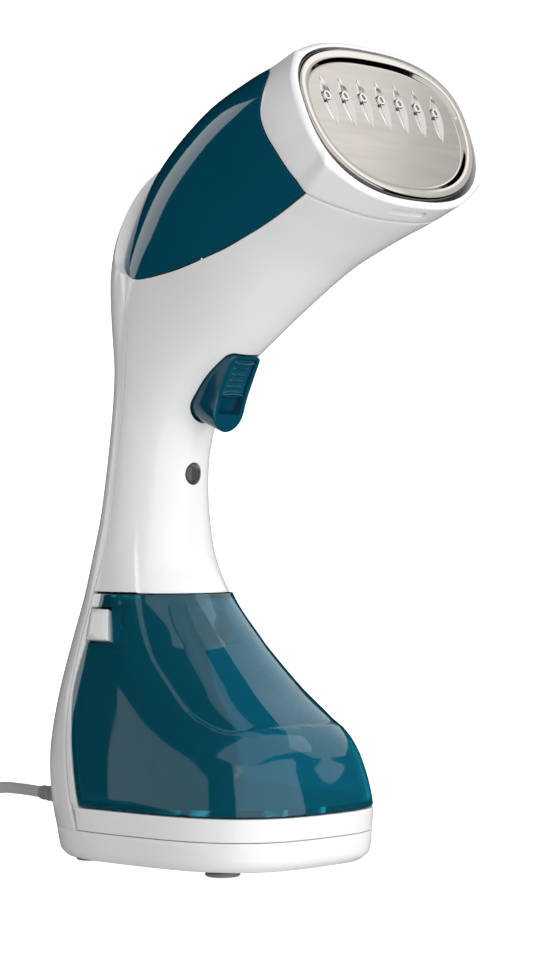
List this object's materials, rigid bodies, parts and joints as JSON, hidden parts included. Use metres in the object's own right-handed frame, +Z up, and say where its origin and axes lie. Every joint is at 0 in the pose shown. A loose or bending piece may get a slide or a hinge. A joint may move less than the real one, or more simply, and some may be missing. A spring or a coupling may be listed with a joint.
{
  "type": "garment steamer",
  "caption": "Upright garment steamer: tilted oval steam plate on a slim curved handle with a trigger, over a clear removable water tank and a flat base, with a mains lead.",
  "frame": {"origin": "middle of the bounding box without the lead, on the surface the feet stand on", "axes": "+Z up, -Y the way the steam plate faces, +X the user's left when facing the plate's back, so the object is symmetric about X=0"},
  "size_m": [0.096, 0.3285, 0.2991],
  "materials": {
    "base_cover": "satin moulded white",
    "base_screw_1": "bare",
    "base_screw_2": "bare",
    "base_screw_3": "bare",
    "base_screw_4": "bare",
    "clamp_screw_1": "bare",
    "clamp_screw_2": "bare",
    "cord_clamp": "matt grey",
    "cord_coil": "light grey flexible",
    "cord_tail": "light grey flexible",
    "cord_tie": "matt black",
    "dock_seal": "matt",
    "foot_1": "matt",
    "foot_2": "matt",
    "foot_3": "matt",
    "foot_4": "matt",
    "front_shell": "satin moulded white",
    "handle_chassis": "matt grey",
    "head_collar": "satin moulded white",
    "heat_shield": "bare",
    "heater_block": "as cast",
    "heating_element": "bare",
    "indicator_lens": "matt grey",
    "inlet_hose": "translucent silicone",
    "latch_spring_left": "bare",
    "latch_spring_right": "bare",
    "lock_slider": "glossy dark teal",
    "microswitch": "matt black",
    "outlet_hose": "translucent silicone",
    "plate_seal": "matt",
    "plug_body": "light grey flexible",
    "plug_pin_1": "nickel plated",
    "plug_pin_2": "nickel plated",
    "power_cord": "light grey flexible",
    "pump": "matt black",
    "rear_shell": "satin moulded white",
    "steam_plate": "satin, polished rim",
    "strain_relief": "mid grey",
    "tank_bung": "matt",
    "tank_dock": "satin moulded white",
    "tank_latch_left": "satin moulded white",
    "tank_latch_right": "satin moulded white",
    "tank_valve": "matt grey",
    "thermal_fuse": "bare",
    "thermostat": "matt black",
    "top_cover": "glossy dark teal",
    "trigger": "glossy dark teal",
    "trigger_pin": "bare",
    "trigger_spring": "bare",
    "water_tank": "clear teal",
    "wiring_loom": "matt black"
  },
  "bodies": {
    "steamer": {"base_cover": "base_cover", "base_screw_1": "base_screw_1", "base_screw_2": "base_screw_2", "base_screw_3": "base_screw_3", "base_screw_4": "base_screw_4", "clamp_screw_1": "clamp_screw_1", "clamp_screw_2": "clamp_screw_2", "cord_clamp": "cord_clamp", "cord_coil": "cord_coil", "cord_tail": "cord_tail", "cord_tie": "cord_tie", "dock_seal": "dock_seal", "foot_1": "foot_1", "foot_2": "foot_2", "foot_3": "foot_3", "foot_4": "foot_4", "front_shell": "front_shell", "handle_chassis": "handle_chassis", "head_collar": "head_collar", "heat_shield": "heat_shield", "heater_block": "heater_block", "heating_element": "heating_element", "indicator_lens": "indicator_lens", "inlet_hose": "inlet_hose", "microswitch": "microswitch", "outlet_hose": "outlet_hose", "plate_seal": "plate_seal", "plug_body": "plug_body", "plug_pin_1": "plug_pin_1", "plug_pin_2": "plug_pin_2", "power_cord": "power_cord", "pump": "pump", "rear_shell": "rear_shell", "steam_plate": "steam_plate", "strain_relief": "strain_relief", "tank_dock": "tank_dock", "thermal_fuse": "thermal_fuse", "thermostat": "thermostat", "top_cover": "top_cover", "trigger_pin": "trigger_pin", "wiring_loom": "wiring_loom"},
    "trigger_body": {"trigger": "trigger", "trigger_spring": "trigger_spring"},
    "lock": {"lock_slider": "lock_slider"},
    "tank": {"water_tank": "water_tank", "tank_valve": "tank_valve", "tank_bung": "tank_bung", "latch_spring_left": "latch_spring_left", "latch_spring_right": "latch_spring_right"},
    "latch_left": {"tank_latch_left": "tank_latch_left"},
    "latch_right": {"tank_latch_right": "tank_latch_right"}
  },
  "joints": [
    {"name": "trigger_pull", "type": "hinge", "parent": "steamer", "child": "trigger_body", "pos_m": [0, 0.0108, 0.1905], "axis": [1, 0, 0], "range_deg": [0, 8], "stiffness_Nm_per_rad": 0.1, "springref_deg": -8.59},
    {"name": "lock_slide", "type": "slide", "parent": "trigger_body", "child": "lock", "axis": [0, 0.3714, -0.9285], "range_m": [0, 0.0055]},
    {"name": "tank_release", "type": "slide", "parent": "steamer", "child": "tank", "axis": [0, -1, 0], "range_m": [0, 0.06]},
    {"name": "latch_left_press", "type": "slide", "parent": "tank", "child": "latch_left", "axis": [1, 0, 0], "range_m": [0, 0.0025], "stiffness_N_per_m": 300, "springref_m": -0.003},
    {"name": "latch_right_press", "type": "slide", "parent": "tank", "child": "latch_right", "axis": [-1, 0, 0], "range_m": [0, 0.0025], "stiffness_N_per_m": 300, "springref_m": -0.003}
  ]
}
